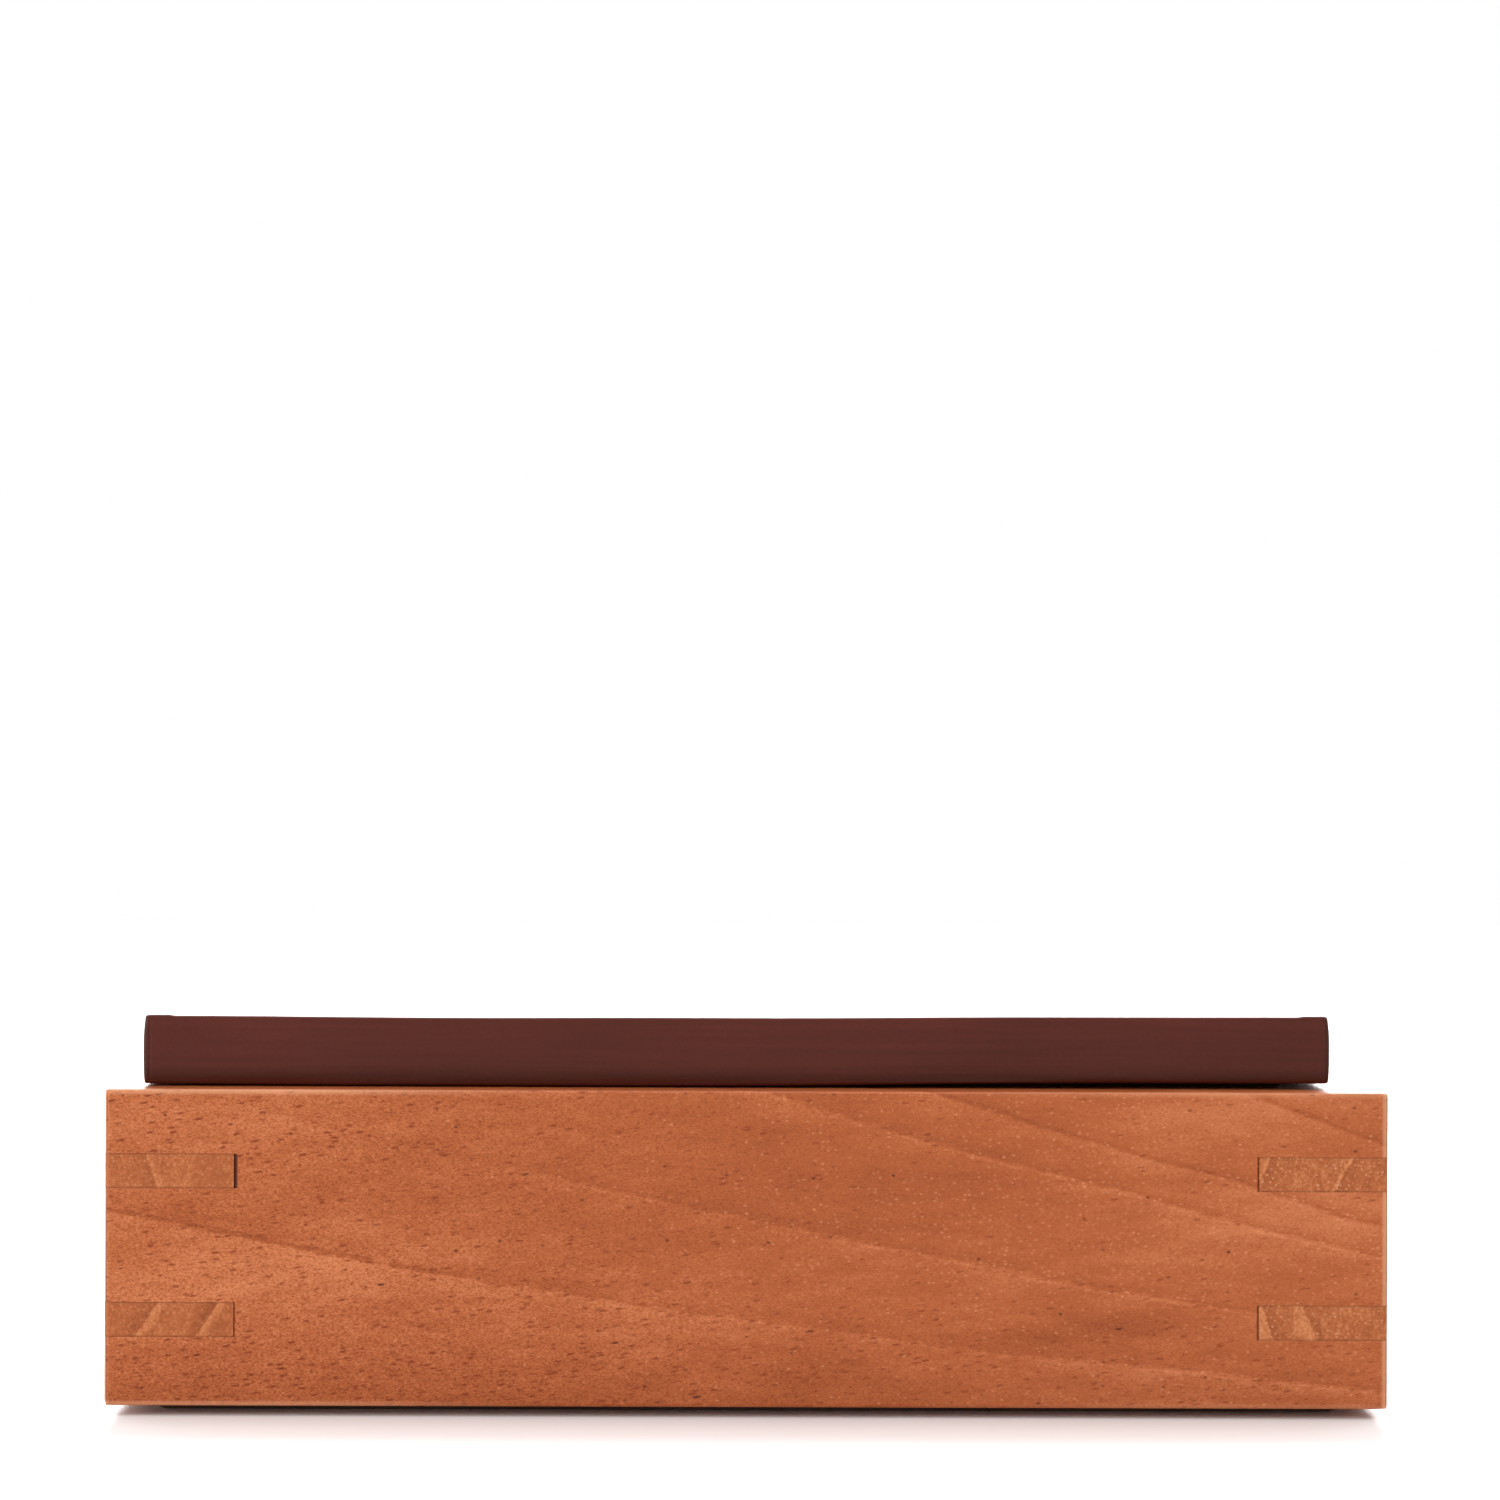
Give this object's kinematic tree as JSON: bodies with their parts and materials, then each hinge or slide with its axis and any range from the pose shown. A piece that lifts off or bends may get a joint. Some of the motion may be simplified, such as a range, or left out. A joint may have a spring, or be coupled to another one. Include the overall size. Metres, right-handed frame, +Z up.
{
  "type": "leather-lidded wooden box",
  "caption": "Low square hardwood box with keyed mitre corners and a loose, leather-covered slab lid that lifts straight off its rim.",
  "frame": {"origin": "on the surface that the box stands on, under the middle of the box", "axes": "+Z up, front wall faces -Y, +X to the right seen from the front"},
  "size_m": [0.16, 0.16, 0.0494],
  "materials": {
    "wall_wood": "satin clear-coated reddish orange-brown mahogany",
    "key_wood": "satin clear-coated hardwood, cut across the grain",
    "panel_wood": "satin mahogany panel",
    "burgundy_leather": "smooth burgundy-brown leather, satin",
    "dark_suede": "dark brown suede",
    "base_felt": "taupe suede pad"
  },
  "bodies": {
    "box": {"front_wall": "wall_wood", "right_wall": "wall_wood", "back_wall": "wall_wood", "left_wall": "wall_wood", "key_front_left_upper": "key_wood", "key_front_left_lower": "key_wood", "key_front_right_upper": "key_wood", "key_front_right_lower": "key_wood", "key_back_right_upper": "key_wood", "key_back_right_lower": "key_wood", "key_back_left_upper": "key_wood", "key_back_left_lower": "key_wood", "bottom_panel": "panel_wood", "floor_lining": "dark_suede", "base_pad": "base_felt"},
    "lid": {"lid_board": "panel_wood", "lid_cover": "burgundy_leather", "lid_seat": "dark_suede", "lid_locator": "panel_wood"}
  },
  "joints": [
    {"name": "lid_lift", "type": "slide", "parent": "box", "child": "lid", "axis": [0, 0, 1], "range_m": [0, 0.08]}
  ]
}
